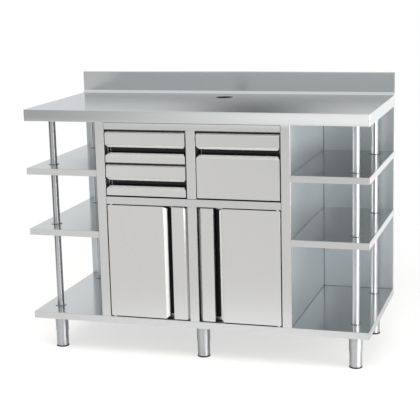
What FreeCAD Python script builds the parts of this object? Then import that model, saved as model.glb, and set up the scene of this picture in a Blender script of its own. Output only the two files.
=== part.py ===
"""Waiter service station: folded stainless-steel counter with drawers, doors and open end shelves.

Millimetres, +Z up. The origin is on the floor, under the middle of the unit. The front faces -Y.
"""
import FreeCAD, Part
import Sketcher
import math
import os

NODES = []

# ---------------------------------------------------------------------------
# Driving dimensions
# ---------------------------------------------------------------------------

DIMENSIONS = [
    # Overall form
    ("overall_length", 1500),
    ("overall_depth", 700),
    ("worktop_height", 1095),
    ("worktop_edge", 50),
    ("worktop_sheet", 1.5),
    ("worktop_return", 15),
    ("backsplash_height", 100),
    ("backsplash_thickness", 20),
    ("backsplash_cove", 12),
    ("panel_sheet", 1.2),
    ("bend_radius", 2),
    # Cable outlet
    ("outlet_hole_diameter", 72),
    ("outlet_setback", 176),
    ("grommet_rim", 4),
    ("grommet_flange", 1.2),
    ("grommet_wall", 4),
    ("grommet_depth", 16),
    ("grommet_clearance", 0.1),
    # Base, end shelves and back
    ("foot_height", 162),
    ("base_edge", 30),
    ("shelf_edge", 28),
    ("shelf_return", 12),
    ("upper_shelf_drop", 256),
    ("lower_shelf_drop", 525),
    ("back_panel_depth", 15),
    ("stiffener_width", 60),
    ("stiffener_foot", 15),
    ("base_stiffener_height", 24),
    ("stiffener_clearance", 3),
    ("front_stiffener_inset", 180),
    # Cabinet
    ("cabinet_width", 850),
    ("cabinet_setback", 2),
    ("side_panel_depth", 14),
    ("stile_width", 40),
    ("frame_depth", 20),
    ("top_rail_height", 30),
    ("middle_rail_height", 34),
    ("drawer_zone_height", 288),
    ("deck_edge", 16),
    ("inner_shelf_height", 250),
    ("inner_shelf_edge", 20),
    ("inner_shelf_clearance", 13.6),
    ("clip_width", 30),
    ("clip_reach", 25),
    ("clip_drop", 20),
    # Fronts with a folded finger channel
    ("front_gap", 4.5),
    ("grip_bevel", 13),
    ("grip_throat", 24),
    ("grip_depth", 44),
    ("grip_trim", 10),
    ("edge_bevel", 13),
    ("drawer_face", 46.5),
    ("door_strip", 54.5),
    # Drawer boxes and runners
    ("box_sheet", 1),
    ("box_back_clearance", 98),
    ("box_lift", 12),
    ("box_headroom", 24),
    ("runner_space", 13),
    ("runner_height", 45),
    ("runner_shortfall", 40),
    ("runner_sheet", 1.2),
    ("runner_play", 0.4),
    ("runner_offset", 18),
    # Doors
    ("pivot_inset", 14),
    ("pivot_setback", 8),
    ("pivot_diameter", 8),
    ("pivot_length", 20),
    ("pivot_clearance", 0.05),
    ("pivot_play", 0.3),
    ("pivot_washer_rim", 3.5),
    ("liner_clearance", 0.3),
    ("liner_edge", 12),
    ("catch_width", 36),
    ("catch_thickness", 10),
    ("catch_height", 20),
    ("catch_gap", 0.4),
    # Posts
    ("post_diameter", 30),
    ("post_wall", 1.5),
    ("post_inset_side", 76),
    ("post_inset_front", 120),
    ("post_inset_rear", 95),
    ("collar_rim", 9),
    ("collar_height", 2),
    ("tie_rod_diameter", 8),
    ("tie_rod_clearance", 0.5),
    # Feet
    ("insert_diameter", 54),
    ("insert_wall", 2),
    ("insert_clearance", 0.3),
    ("sleeve_wall", 1.7),
    ("sleeve_drop", 88),
    ("insert_overlap", 42),
    ("pad_overhang", 1),
    ("pad_height", 6),
    ("foot_plate_rim", 16),
    ("foot_plate_thickness", 3),
    ("spindle_diameter", 12),
    ("spindle_clearance", 0.05),
    ("spindle_engagement", 30),
    ("spindle_nut_wall", 4),
    ("spindle_nut_length", 72),
]


class Size:
    """A length: its value now and the sheet expression that gives it."""

    def __init__(self, value, text):
        self.value = float(value)
        self.text = text

    @staticmethod
    def of(other):
        """Any number as a Size."""
        return other if isinstance(other, Size) else Size(other, repr(float(other)))

    def join(self, sign, other, value):
        """The Size that an operator gives."""
        return Size(value, f"({self.text} {sign} {other.text})")

    def __add__(self, other):
        other = Size.of(other)
        return self.join("+", other, self.value + other.value)

    def __sub__(self, other):
        other = Size.of(other)
        return self.join("-", other, self.value - other.value)

    def __mul__(self, other):
        other = Size.of(other)
        return self.join("*", other, self.value * other.value)

    def __truediv__(self, other):
        other = Size.of(other)
        return self.join("/", other, self.value / other.value)

    def __neg__(self):
        return Size(-self.value, f"(0 - {self.text})")

    def __radd__(self, other):
        return Size.of(other) + self

    def __rsub__(self, other):
        return Size.of(other) - self

    def __rmul__(self, other):
        return Size.of(other) * self


class Sizes:
    """The driving dimensions, each an attribute with its own name."""


doc = FreeCAD.newDocument("ServiceStation")
sheet = doc.addObject("Spreadsheet::Sheet", "Sizes")
size = Sizes()
for row, (alias, number) in enumerate(DIMENSIONS, start=1):
    sheet.set(f"A{row}", alias)
    sheet.set(f"B{row}", str(number))
    sheet.setAlias(f"B{row}", alias)
    setattr(size, alias, Size(number, f"Sizes.{alias}"))
doc.recompute()

# ---------------------------------------------------------------------------
# Modelling helpers
# ---------------------------------------------------------------------------

ZERO = Size(0, "0")
UPRIGHT = FreeCAD.Rotation()
# Section drawn in (Y, Z), run along X
ALONG_X = FreeCAD.Rotation(FreeCAD.Vector(1, 1, 1), 120)
# Section drawn in (X, Z), run along -Y: also turns a pan's closed face to the front
TO_FRONT = FreeCAD.Rotation(FreeCAD.Vector(1, 0, 0), 90)
TO_BACK = FreeCAD.Rotation(FreeCAD.Vector(1, 0, 0), -90)
TO_LEFT = FreeCAD.Rotation(FreeCAD.Vector(0, 1, 0), -90)
TO_RIGHT = FreeCAD.Rotation(FreeCAD.Vector(0, 1, 0), 90)
HALF_TURN = FreeCAD.Rotation(FreeCAD.Vector(0, 1, 0), 180)
OVERRUN = 5


def bind(obj, prop, amount):
    """Set a property to a size and tie it to the sheet."""
    obj.setExpression(prop, Size.of(amount).text)


def place(obj, x, y, z, turn=UPRIGHT):
    """Put a sub-part where it belongs, tied to the sheet."""
    obj.Placement = FreeCAD.Placement(FreeCAD.Vector(), turn)
    for axis, amount in zip("xyz", (x, y, z)):
        bind(obj, f"Placement.Base.{axis}", amount)


def new_body(label):
    """A body with the sub-part's own name."""
    body = doc.addObject("PartDesign::Body", label)
    body.Label = label
    return body


def keep(obj):
    """Mark a finished sub-part: it is checked and written to its own file."""
    NODES.append(obj)
    return obj


def sketch_on(body, role, height=ZERO):
    """A sketch on one of the body's origin planes, moved along the plane's normal."""
    plane = next(item for item in body.Origin.OriginFeatures if item.Role == role)
    sketch = body.newObject("Sketcher::SketchObject", "Sketch")
    sketch.AttachmentSupport = [(plane, "")]
    sketch.MapMode = "FlatFace"
    bind(sketch, "AttachmentOffset.Base.z", height)
    return sketch


def pin_point(sketch, constraints, ties, geometry, end, point):
    """Tie one point of a sketch to its two coordinates."""
    for kind, amount in zip(("DistanceX", "DistanceY"), point):
        ties.append((len(constraints), amount))
        constraints.append(Sketcher.Constraint(kind, -1, 1, geometry, end, amount.value))


def draw_polygon(sketch, points):
    """A closed outline of straight lines through points that are tied to the sheet."""
    points = [(Size.of(x), Size.of(y)) for x, y in points]
    first = sketch.GeometryCount
    count = len(points)
    corners = [FreeCAD.Vector(x.value, y.value, 0) for x, y in points]
    lines = [Part.LineSegment(corners[i], corners[(i + 1) % count]) for i in range(count)]
    sketch.addGeometry(lines, False)
    constraints = []
    ties = []
    for i in range(count):
        constraints.append(Sketcher.Constraint("Coincident", first + i, 2, first + (i + 1) % count, 1))
    for i, point in enumerate(points):
        pin_point(sketch, constraints, ties, first + i, 1, point)
    add_tied(sketch, constraints, ties)


def draw_circle(sketch, x, y, radius):
    """A circle whose centre and radius are tied to the sheet."""
    x, y, radius = Size.of(x), Size.of(y), Size.of(radius)
    index = sketch.GeometryCount
    centre = FreeCAD.Vector(x.value, y.value, 0)
    sketch.addGeometry(Part.Circle(centre, FreeCAD.Vector(0, 0, 1), radius.value), False)
    constraints = []
    ties = []
    pin_point(sketch, constraints, ties, index, 3, (x, y))
    ties.append((len(constraints), radius))
    constraints.append(Sketcher.Constraint("Radius", index, radius.value))
    add_tied(sketch, constraints, ties)


def add_tied(sketch, constraints, ties):
    """Add constraints and tie those that carry a size."""
    first = sketch.ConstraintCount
    sketch.addConstraint(constraints)
    for index, amount in ties:
        sketch.setExpression(f"Constraints[{first + index}]", amount.text)


def draw_rectangle(sketch, x0, y0, x1, y1):
    """A rectangle between two opposite corners."""
    draw_polygon(sketch, [(x0, y0), (x1, y0), (x1, y1), (x0, y1)])


def feature(body, kind, name, sketch, length, flip=False):
    """A Pad or Pocket of one sketch, checked to have changed the solid."""
    before = body.Shape.Volume if body.Tip else 0.0
    item = body.newObject(f"PartDesign::{kind}", name)
    item.Profile = sketch
    item.Reversed = flip
    bind(item, "Length", length)
    doc.recompute()
    gained = body.Shape.Volume - before
    if (kind == "Pad") != (gained > 0) or abs(gained) < 1e-6:
        raise ValueError(f"{body.Label}: {name} changed the volume by {gained}")
    return item


def round_edges(body, chosen, radius):
    """Fillet the tip's edges that the test picks."""
    base = body.Tip
    names = [f"Edge{i}" for i, edge in enumerate(base.Shape.Edges, start=1) if chosen(edge)]
    if not names:
        raise ValueError(f"{body.Label}: no edge to round")
    fillet = body.newObject("PartDesign::Fillet", "Bend")
    fillet.Base = (base, names)
    bind(fillet, "Radius", radius)
    doc.recompute()


def pan(label, length_x, length_y, depth, thickness, holes=(), fold=None):
    """A folded pan: closed face at local z = depth, open side at z = 0.

    holes are (x, y, radius) through the closed face. fold is the width of the returns that are
    folded inwards along the open side.
    """
    body = new_body(label)
    outline = sketch_on(body, "XY_Plane")
    draw_rectangle(outline, ZERO, ZERO, length_x, length_y)
    feature(body, "Pad", "Block", outline, depth)
    round_edges(body, lambda edge: edge.BoundBox.ZMin > depth.value - 1e-6, size.bend_radius)
    hollow = sketch_on(body, "XY_Plane")
    draw_rectangle(hollow, thickness, thickness, length_x - thickness, length_y - thickness)
    feature(body, "Pocket", "Hollow", hollow, depth - thickness, flip=True)
    if fold:
        returns = sketch_on(body, "XY_Plane")
        draw_rectangle(returns, ZERO, ZERO, length_x, length_y)
        draw_rectangle(returns, fold, fold, length_x - fold, length_y - fold)
        feature(body, "Pad", "Returns", returns, thickness)
    if holes:
        drill = sketch_on(body, "XY_Plane")
        for x, y, radius in holes:
            draw_circle(drill, x, y, radius)
        feature(body, "Pocket", "Holes", drill, depth + OVERRUN, flip=True)
    return body


def tray(label, length_x, length_y, height, thickness):
    """An open-topped box of sheet, from the local origin."""
    body = new_body(label)
    outline = sketch_on(body, "XY_Plane")
    draw_rectangle(outline, ZERO, ZERO, length_x, length_y)
    feature(body, "Pad", "Block", outline, height)
    hollow = sketch_on(body, "XY_Plane", thickness)
    draw_rectangle(hollow, thickness, thickness, length_x - thickness, length_y - thickness)
    feature(body, "Pocket", "Hollow", hollow, height, flip=True)
    return body


def sheet_outline(path, thickness):
    """The closed outline of a bent sheet whose outer face follows path.

    The sheet lies to the left of the path. Each inner corner is the outer one moved by the
    thickness times a factor that depends only on the bend's angle.
    """
    path = [(Size.of(x), Size.of(y)) for x, y in path]
    normals = []
    for (x0, y0), (x1, y1) in zip(path, path[1:]):
        run = math.hypot(x1.value - x0.value, y1.value - y0.value)
        normals.append(((y0.value - y1.value) / run, (x1.value - x0.value) / run))
    inner = []
    for i, (x, y) in enumerate(path):
        before = normals[max(i - 1, 0)]
        after = normals[min(i, len(normals) - 1)]
        spread = 1 + before[0] * after[0] + before[1] * after[1]
        factor_x = round((before[0] + after[0]) / spread, 9)
        factor_y = round((before[1] + after[1]) / spread, 9)
        inner.append((x + thickness * factor_x, y + thickness * factor_y))
    return path + inner[::-1]


def folded_sheet(label, path, thickness, run):
    """A sheet bent along path in local (x, y), run along local z."""
    body = new_body(label)
    sketch = sketch_on(body, "XY_Plane")
    draw_polygon(sketch, sheet_outline(path, thickness))
    feature(body, "Pad", "Sheet", sketch, run)
    return body


def turned(label, outline):
    """A solid of revolution about local z from an (r, z) outline."""
    body = new_body(label)
    sketch = sketch_on(body, "XZ_Plane")
    draw_polygon(sketch, outline)
    item = body.newObject("PartDesign::Revolution", "Turned")
    item.Profile = sketch
    item.ReferenceAxis = (sketch, ["V_Axis"])
    item.Angle = 360
    doc.recompute()
    return body


def group(label, parts):
    """Like pieces that share one node, each still a solid of its own."""
    compound = doc.addObject("Part::Compound", label)
    compound.Label = label
    compound.Links = parts
    return keep(compound)


# ---------------------------------------------------------------------------
# Levels and planes that the pieces share
# ---------------------------------------------------------------------------

half_length = size.overall_length / 2
half_depth = size.overall_depth / 2
front = -half_depth
back_panel_face = half_depth - size.back_panel_depth
worktop_under = size.worktop_height - size.worktop_edge
worktop_skin = size.worktop_height - size.worktop_sheet
base_under = size.foot_height
base_top = size.foot_height + size.base_edge
base_skin = base_top - size.panel_sheet
upper_shelf_top = size.worktop_height - size.upper_shelf_drop
lower_shelf_top = size.worktop_height - size.lower_shelf_drop
half_cabinet = size.cabinet_width / 2
cabinet_front = front + size.cabinet_setback
frame_back = cabinet_front + size.frame_depth
top_rail_under = worktop_under - size.top_rail_height
middle_rail_top = top_rail_under - size.drawer_zone_height
middle_rail_under = middle_rail_top - size.middle_rail_height
half_stile = size.stile_width / 2
opening_width = half_cabinet - size.stile_width - half_stile
side_panel_inside = half_cabinet - size.side_panel_depth
left_opening = -half_cabinet + size.stile_width
right_opening = half_stile
post_x = half_length - size.post_inset_side
post_front = front + size.post_inset_front
post_rear = half_depth - size.post_inset_rear
front_depth = size.grip_depth + size.panel_sheet
outlet_y = half_depth - size.outlet_setback
outlet_radius = size.outlet_hole_diameter / 2
seat_radius = outlet_radius + size.grommet_rim + size.grommet_clearance
seat_under = worktop_skin - size.grommet_flange
sleeve_inner = size.insert_diameter / 2 + size.insert_clearance
sleeve_outer = sleeve_inner + size.sleeve_wall
foot_plate_radius = sleeve_outer + size.foot_plate_rim
front_back = cabinet_front + front_depth
door_back = front_back + size.panel_sheet

CORNERS = {
    "front_left": (-post_x, post_front),
    "front_right": (post_x, post_front),
    "rear_left": (-post_x, post_rear),
    "rear_right": (post_x, post_rear),
}
FEET = dict(CORNERS, front_middle=(ZERO, post_front), rear_middle=(ZERO, post_rear))


# ---------------------------------------------------------------------------
# Worktop, cable outlet and stiffeners
# ---------------------------------------------------------------------------

def worktop():
    """One folded shell: top, cove, backsplash, edges and the returns under them."""
    skin = size.worktop_sheet
    cove_step = skin * round(math.tan(math.pi / 8), 9)
    splash_top = size.worktop_height + size.backsplash_height
    splash_face = half_depth - size.backsplash_thickness
    cove_start = splash_face - size.backsplash_cove
    cove_end = size.worktop_height + size.backsplash_cove
    body = new_body("worktop")
    section = sketch_on(body, "YZ_Plane", -half_length)
    draw_polygon(section, [
        (front, worktop_under), (front, size.worktop_height), (cove_start, size.worktop_height),
        (splash_face, cove_end), (splash_face, splash_top), (half_depth, splash_top),
        (half_depth, worktop_under)])
    feature(body, "Pad", "Form", section, size.overall_length)
    bends = [(front.value, size.worktop_height.value), (splash_face.value, splash_top.value)]

    def is_bend(edge):
        box = edge.BoundBox
        if box.YLength < 1e-6 and box.ZLength < 1e-6:
            return any(abs(box.YMin - y) + abs(box.ZMin - z) < 1e-6 for y, z in bends)
        top_end = abs(box.ZMin - size.worktop_height.value) < 1e-6 and box.ZLength < 1e-6
        corner = abs(box.YMax - front.value) < 1e-6
        return box.XLength < 1e-6 and (top_end or corner)

    round_edges(body, is_bend, size.bend_radius)
    hollow = sketch_on(body, "YZ_Plane", skin - half_length)
    draw_polygon(hollow, [
        (front + skin, worktop_under), (front + skin, worktop_skin),
        (cove_start + cove_step, worktop_skin), (splash_face + skin, cove_end - cove_step),
        (splash_face + skin, splash_top - skin), (half_depth - skin, splash_top - skin),
        (half_depth - skin, worktop_under)])
    feature(body, "Pocket", "Hollow", hollow, size.overall_length - skin * 2, flip=True)
    returns = sketch_on(body, "XY_Plane", worktop_under)
    draw_rectangle(returns, -half_length, front, half_length, half_depth)
    draw_rectangle(returns, size.worktop_return - half_length, front + size.worktop_return,
                   half_length - size.worktop_return, half_depth - size.worktop_return)
    feature(body, "Pad", "Returns", returns, skin)
    # The outlet's edge ring lies in a pressed seat, level with the top
    steps = (
        ("Pad", "SeatForm", seat_under, seat_radius + skin, size.worktop_height - seat_under),
        ("Pocket", "Seat", seat_under + skin, seat_radius, size.grommet_flange + OVERRUN),
        ("Pocket", "Outlet", seat_under - OVERRUN, outlet_radius, skin + OVERRUN * 2),
    )
    for kind, name, level, radius, height in steps:
        circle = sketch_on(body, "XY_Plane", level)
        draw_circle(circle, ZERO, outlet_y, radius)
        feature(body, kind, name, circle, height, flip=kind == "Pocket")
    keep(body)


def cable_grommet():
    """Edge ring of the cable outlet: a flange in the pressed seat and a sleeve through the hole."""
    outer = outlet_radius - size.grommet_clearance
    rim = outlet_radius + size.grommet_rim
    bore = outlet_radius - size.grommet_wall
    body = turned("cable_grommet", [
        (bore, -size.grommet_depth), (outer, -size.grommet_depth), (outer, -size.grommet_flange),
        (rim, -size.grommet_flange), (rim, ZERO), (bore, ZERO)])
    place(body, 0, outlet_y, size.worktop_height)
    keep(body)


def hat_path(height):
    """The section of a hat-shaped stiffener whose feet lie against y = 0."""
    half = size.stiffener_width / 2
    foot = half + size.stiffener_foot
    under = -size.panel_sheet
    return [(-foot, under), (-half, under), (-half, -height), (half, -height), (half, under),
            (foot, under)]


def stiffener_pair(label, height, level, run, front_y, rear_y):
    """Two hat-shaped stiffeners along the unit, against the sheet above them."""
    pair = []
    for side, y in (("front", front_y), ("rear", rear_y)):
        body = folded_sheet(f"{label}_{side}", hat_path(height), size.panel_sheet, run)
        place(body, -run / 2, y, level, ALONG_X)
        pair.append(body)
    group(label, pair)


def stiffeners():
    """The worktop's pair clears the cable outlet, the base's pair clears the foot plates."""
    reach = size.stiffener_clearance + size.stiffener_width / 2 + size.stiffener_foot
    stiffener_pair("worktop_stiffeners", size.worktop_edge - size.worktop_sheet, worktop_skin,
                   post_x * 2 - size.stiffener_width * 2, front + size.front_stiffener_inset,
                   outlet_y - seat_radius - size.worktop_sheet - reach)
    stiffener_pair("base_stiffeners", size.base_stiffener_height, base_skin,
                   size.overall_length - size.stiffener_width, post_front + foot_plate_radius + reach,
                   post_rear - foot_plate_radius - reach)


# ---------------------------------------------------------------------------
# Base, end shelves, back panel
# ---------------------------------------------------------------------------

def tie_holes(corners, origin_x, origin_y):
    """The tie rods' holes, in a pan's own coordinates."""
    radius = size.tie_rod_diameter / 2 + size.tie_rod_clearance
    return [(x - origin_x, y - origin_y, radius) for x, y in corners]


def base_shelf():
    """The full-width floor of the unit."""
    holes = tie_holes(CORNERS.values(), -half_length, front)
    body = pan("base_shelf", size.overall_length, size.overall_depth, size.base_edge, size.panel_sheet,
               holes, size.shelf_return)
    place(body, -half_length, front, base_under)
    keep(body)


def end_shelves():
    """Upper and lower shelf at each end, between the cabinet and the outer edge."""
    width = half_length - half_cabinet
    reach = back_panel_face - front
    for side, edge in (("left", -half_length), ("right", half_cabinet)):
        corners = [xy for name, xy in CORNERS.items() if name.endswith(side)]
        for level, top in (("upper", upper_shelf_top), ("lower", lower_shelf_top)):
            holes = tie_holes(corners, edge, front)
            body = pan(f"{level}_shelf_{side}", width, reach, size.shelf_edge, size.panel_sheet, holes,
                       size.shelf_return)
            place(body, edge, front, top - size.shelf_edge)
            keep(body)


def back_panel():
    """The full-width back, closed face to the front, from the base to the worktop."""
    body = pan("back_panel", size.overall_length, worktop_under - base_top, size.back_panel_depth,
               size.panel_sheet)
    place(body, -half_length, half_depth, base_top, TO_FRONT)
    keep(body)


# ---------------------------------------------------------------------------
# Cabinet
# ---------------------------------------------------------------------------

def side_panels():
    """The cabinet's two sides, closed face outwards."""
    height = worktop_under - base_top
    reach = back_panel_face - frame_back
    for side, turn, x, z in (("left", TO_LEFT, -side_panel_inside, base_top),
                             ("right", TO_RIGHT, side_panel_inside, worktop_under)):
        body = pan(f"cabinet_side_{side}", height, reach, size.side_panel_depth, size.panel_sheet)
        place(body, x, frame_back, z, turn)
        keep(body)


def frame_channel(label, width, run):
    """A front-frame channel with rounded bends: face towards -y, open to the rear."""
    path = [(ZERO, size.frame_depth), (ZERO, ZERO), (width, ZERO), (width, size.frame_depth)]
    body = folded_sheet(label, path, size.panel_sheet, run)

    def is_bend(edge):
        box = edge.BoundBox
        return box.XLength < 1e-6 and box.YLength < 1e-6 and box.YMax < 1e-6

    round_edges(body, is_bend, size.panel_sheet)
    return body


def front_frame():
    """Stiles and rails, all folded channels with their faces in one plane."""
    full = worktop_under - base_top
    stiles = (
        ("stile_left", -half_cabinet, base_top, full),
        ("stile_right", half_cabinet - size.stile_width, base_top, full),
        ("centre_stile_upper", -half_stile, middle_rail_top, size.drawer_zone_height),
        ("centre_stile_lower", -half_stile, base_top, middle_rail_under - base_top),
    )
    for label, x, z, run in stiles:
        body = frame_channel(label, size.stile_width, run)
        place(body, x, cabinet_front, z)
        keep(body)
    span = size.cabinet_width - size.stile_width * 2
    rails = (("top_rail", size.top_rail_height, worktop_under),
             ("middle_rail", size.middle_rail_height, middle_rail_top))
    for label, height, top in rails:
        body = frame_channel(label, height, span)
        place(body, -span / 2, cabinet_front, top, TO_RIGHT)
        keep(body)


def deck():
    """The floor under the drawers, level with the middle rail."""
    body = pan("drawer_deck", side_panel_inside * 2, back_panel_face - frame_back, size.deck_edge,
               size.panel_sheet)
    place(body, -side_panel_inside, frame_back, middle_rail_top - size.deck_edge)
    keep(body)


def drawer_divider():
    """The hollow wall between the drawer columns, as wide as the centre stile."""
    path = [(ZERO, back_panel_face - frame_back), (ZERO, ZERO), (size.stile_width, ZERO),
            (size.stile_width, back_panel_face - frame_back)]
    body = folded_sheet("drawer_divider", path, size.panel_sheet, worktop_under - middle_rail_top)
    place(body, -half_stile, frame_back, middle_rail_top)
    keep(body)


def runner_carriers():
    """Folded channels that bring the runners in line with the outer stiles."""
    depth = size.stile_width - size.panel_sheet
    height = worktop_under - middle_rail_top - size.panel_sheet
    reach = back_panel_face - frame_back - size.panel_sheet * 2
    path = [(-depth, ZERO), (ZERO, ZERO), (ZERO, height), (-depth, height)]
    mirrored = [(-x, y) for x, y in reversed(path)]
    for side, x, section in (("left", left_opening, path), ("right", -left_opening, mirrored)):
        body = folded_sheet(f"runner_carrier_{side}", section, size.panel_sheet, reach)
        place(body, x, back_panel_face - size.panel_sheet, middle_rail_top, TO_FRONT)
        keep(body)


def cabinet_shelf():
    """The loose shelf behind the doors and the four clips that it lies on."""
    start = door_back + size.inner_shelf_clearance
    top = base_top + size.inner_shelf_height
    under = top - size.inner_shelf_edge
    reach = back_panel_face - start
    body = pan("cabinet_shelf", side_panel_inside * 2, reach, size.inner_shelf_edge, size.panel_sheet)
    place(body, -side_panel_inside, start, under)
    keep(body)
    clips = []
    wall = half_cabinet - size.panel_sheet
    path = [(size.clip_reach, ZERO), (ZERO, ZERO), (ZERO, -size.clip_drop)]
    mirrored = [(-x, y) for x, y in reversed(path)]
    for side, x, section in (("left", -wall, path), ("right", wall, mirrored)):
        for spot, y in (("front", start + size.clip_width * 2), ("rear", back_panel_face - size.clip_width)):
            clip = folded_sheet(f"clip_{spot}_{side}", section, size.panel_sheet, size.clip_width)
            place(clip, x, y, under, TO_FRONT)
            clips.append(clip)
    group("shelf_clips", clips)


# ---------------------------------------------------------------------------
# Fronts with a folded finger channel
# ---------------------------------------------------------------------------

def grip_front(label, width, run, face, near_bevel=ZERO, lip_bevel=ZERO, far_bevel=ZERO, pivots=False):
    """A front folded from one sheet: face, finger channel and strip.

    Local x runs across the channel, from the far edge of the face to the free edge of the
    strip; y runs back from the face; z runs along the channel. Bevels of zero are left out:
    near_bevel is on the face's outer edge, lip_bevel on the strip beside the channel and
    far_bevel on the strip's free edge.
    """
    skin = size.panel_sheet
    bevel = size.grip_bevel
    face_end = near_bevel + face
    throat = face_end + bevel
    lip = throat + size.grip_throat
    strip = lip + lip_bevel
    strip_end = width - far_bevel
    path = [(ZERO, front_depth), (ZERO, near_bevel), (near_bevel, ZERO), (face_end, ZERO),
            (throat, bevel), (throat, size.grip_depth), (lip, size.grip_depth), (lip, lip_bevel),
            (strip, ZERO), (strip_end, ZERO), (width, far_bevel), (width, front_depth)]
    path = [point for i, point in enumerate(path)
            if i == 0 or any(abs(a.value - b.value) > 1e-6 for a, b in zip(point, path[i - 1]))]
    body = new_body(label)
    section = sketch_on(body, "XY_Plane")
    draw_polygon(section, sheet_outline(path, skin))
    feature(body, "Pad", "Sheet", section, run)
    bends = [near_bevel.value, face_end.value, strip.value, strip_end.value]

    def is_bend(edge):
        box = edge.BoundBox
        along = box.XLength < 1e-6 and box.YLength < 1e-6
        return along and box.YMin < 1e-6 and any(abs(box.XMin - x) < 1e-6 for x in bends)

    round_edges(body, is_bend, skin)
    # The bevels are mitred and the channel stops short of both ends, as the folds need
    relief = sketch_on(body, "YZ_Plane", face_end)
    deep = front_depth + OVERRUN
    trim = size.grip_trim
    draw_polygon(relief, [(ZERO, ZERO), (bevel, trim), (deep, trim), (deep, -OVERRUN), (ZERO, -OVERRUN)])
    draw_polygon(relief, [(ZERO, run), (bevel, run - trim), (deep, run - trim), (deep, run + OVERRUN),
                          (ZERO, run + OVERRUN)])
    feature(body, "Pocket", "Relief", relief, strip + skin - face_end, flip=True)
    within = skin / 2
    face_cap = [(within, near_bevel + within), (near_bevel + within, within), (face_end - skin, within),
                (face_end - skin, front_depth), (within, front_depth)]
    strip_cap = [(strip + skin, within), (strip_end - within, within),
                 (width - within, far_bevel + within), (width - within, front_depth),
                 (strip + skin, front_depth)]
    caps = [[point for i, point in enumerate(cap)
             if any(abs(a.value - b.value) > 1e-6 for a, b in zip(point, cap[i - 1]))]
            for cap in (face_cap, strip_cap)]
    for name, level in (("EndsLow", ZERO), ("EndsHigh", run - skin)):
        ends = sketch_on(body, "XY_Plane", level)
        for cap in caps:
            draw_polygon(ends, cap)
        feature(body, "Pad", name, ends, skin)
    if pivots:
        drill = sketch_on(body, "XY_Plane", -OVERRUN)
        draw_circle(drill, size.pivot_inset, size.pivot_setback,
                    size.pivot_diameter / 2 + size.pivot_clearance)
        feature(body, "Pocket", "Pivots", drill, run + OVERRUN * 2, flip=True)
    return body


# Each drawer: name, left edge of its opening, top and bottom of its front
drawer_step = (size.drawer_zone_height - size.front_gap) / 2
DRAWERS = (
    ("upper_left", left_opening, top_rail_under - size.front_gap, middle_rail_top + drawer_step
     + size.front_gap),
    ("lower_left", left_opening, middle_rail_top + drawer_step, middle_rail_top + size.front_gap),
    ("right", right_opening, top_rail_under - size.front_gap, middle_rail_top + size.front_gap),
)
DOOR_WIDTH = opening_width - size.front_gap * 2
DOOR_HEIGHT = middle_rail_under - base_top - size.front_gap * 2


def drawer_fronts_and_boxes():
    """Each drawer's folded front and the box behind it."""
    box_width = opening_width - size.runner_space * 2
    box_length = back_panel_face - front_back - size.box_back_clearance
    for name, left, top, bottom in DRAWERS:
        face = grip_front(f"drawer_front_{name}", top - bottom, opening_width - size.front_gap * 2,
                          size.drawer_face, near_bevel=size.edge_bevel, lip_bevel=size.grip_bevel)
        place(face, left + size.front_gap, cabinet_front, top, TO_RIGHT)
        keep(face)
        height = top - bottom - size.box_lift - size.box_headroom
        box = tray(f"drawer_box_{name}", box_width, box_length, height, size.box_sheet)
        place(box, left + size.runner_space, front_back, bottom + size.box_lift)
        keep(box)


def runner_sections():
    """The three nested channel sections of a telescopic runner.

    Local x runs from the cabinet side to the drawer side. Each is an outline path and its name.
    """
    half = size.runner_height / 2
    skin = size.runner_sheet
    play = size.runner_play
    space = size.runner_space
    lip = space - skin - play
    middle_half = half - skin - play
    inner_half = middle_half - skin - play
    web = skin + play
    return {
        "cabinet": [(lip, half), (ZERO, half), (ZERO, -half), (lip, -half)],
        "middle": [(lip, middle_half), (web, middle_half), (web, -middle_half), (lip, -middle_half)],
        "drawer": [(web + skin + play, inner_half), (space, inner_half), (space, -inner_half),
                   (web + skin + play, -inner_half)],
    }


def runners():
    """A pair of three-part telescopic runners for each drawer."""
    sections = runner_sections()
    start = front_back + size.runner_play
    length = back_panel_face - front_back - size.box_back_clearance - size.runner_shortfall
    cabinet_members = []
    for name, left, top, bottom in DRAWERS:
        level = bottom + size.box_lift + size.runner_offset + size.runner_height / 2
        right = left + opening_width
        for member, path in sections.items():
            pair = []
            for side, x, hand in (("left", left, 1), ("right", right, -1)):
                section = [(px * hand, py) for px, py in path]
                outward = (member == "drawer") == (hand > 0)
                if outward:
                    section = list(reversed(section))
                rail = folded_sheet(f"{member}_member_{side}_{name}", section, size.runner_sheet, length)
                place(rail, x, start + length, level, TO_FRONT)
                pair.append(rail)
            if member == "cabinet":
                cabinet_members += pair
            else:
                group(f"runner_{member}_members_{name}", pair)
    group("runner_cabinet_members", cabinet_members)


# ---------------------------------------------------------------------------
# Doors
# ---------------------------------------------------------------------------

def doors():
    """Two doors: a folded front with its finger channel, and the liner that closes its back."""
    low = base_top + size.front_gap
    face = DOOR_WIDTH - size.grip_bevel - size.grip_throat - size.door_strip - size.edge_bevel
    hinge = left_opening + size.front_gap
    for side, x, z, turn in (("left", hinge, low, UPRIGHT), ("right", -hinge, low + DOOR_HEIGHT, HALF_TURN)):
        skin = grip_front(f"door_front_{side}", DOOR_WIDTH, DOOR_HEIGHT, face,
                          far_bevel=size.edge_bevel, pivots=True)
        place(skin, x, cabinet_front, z, turn)
        keep(skin)
        gap = size.panel_sheet + size.liner_clearance
        liner = pan(f"door_liner_{side}", DOOR_WIDTH - gap * 2, DOOR_HEIGHT - gap * 2, size.liner_edge,
                    size.panel_sheet)
        left_edge = hinge if side == "left" else -hinge - DOOR_WIDTH
        place(liner, left_edge + gap, door_back - size.liner_edge, low + DOOR_HEIGHT - gap, TO_BACK)
        keep(liner)


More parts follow.
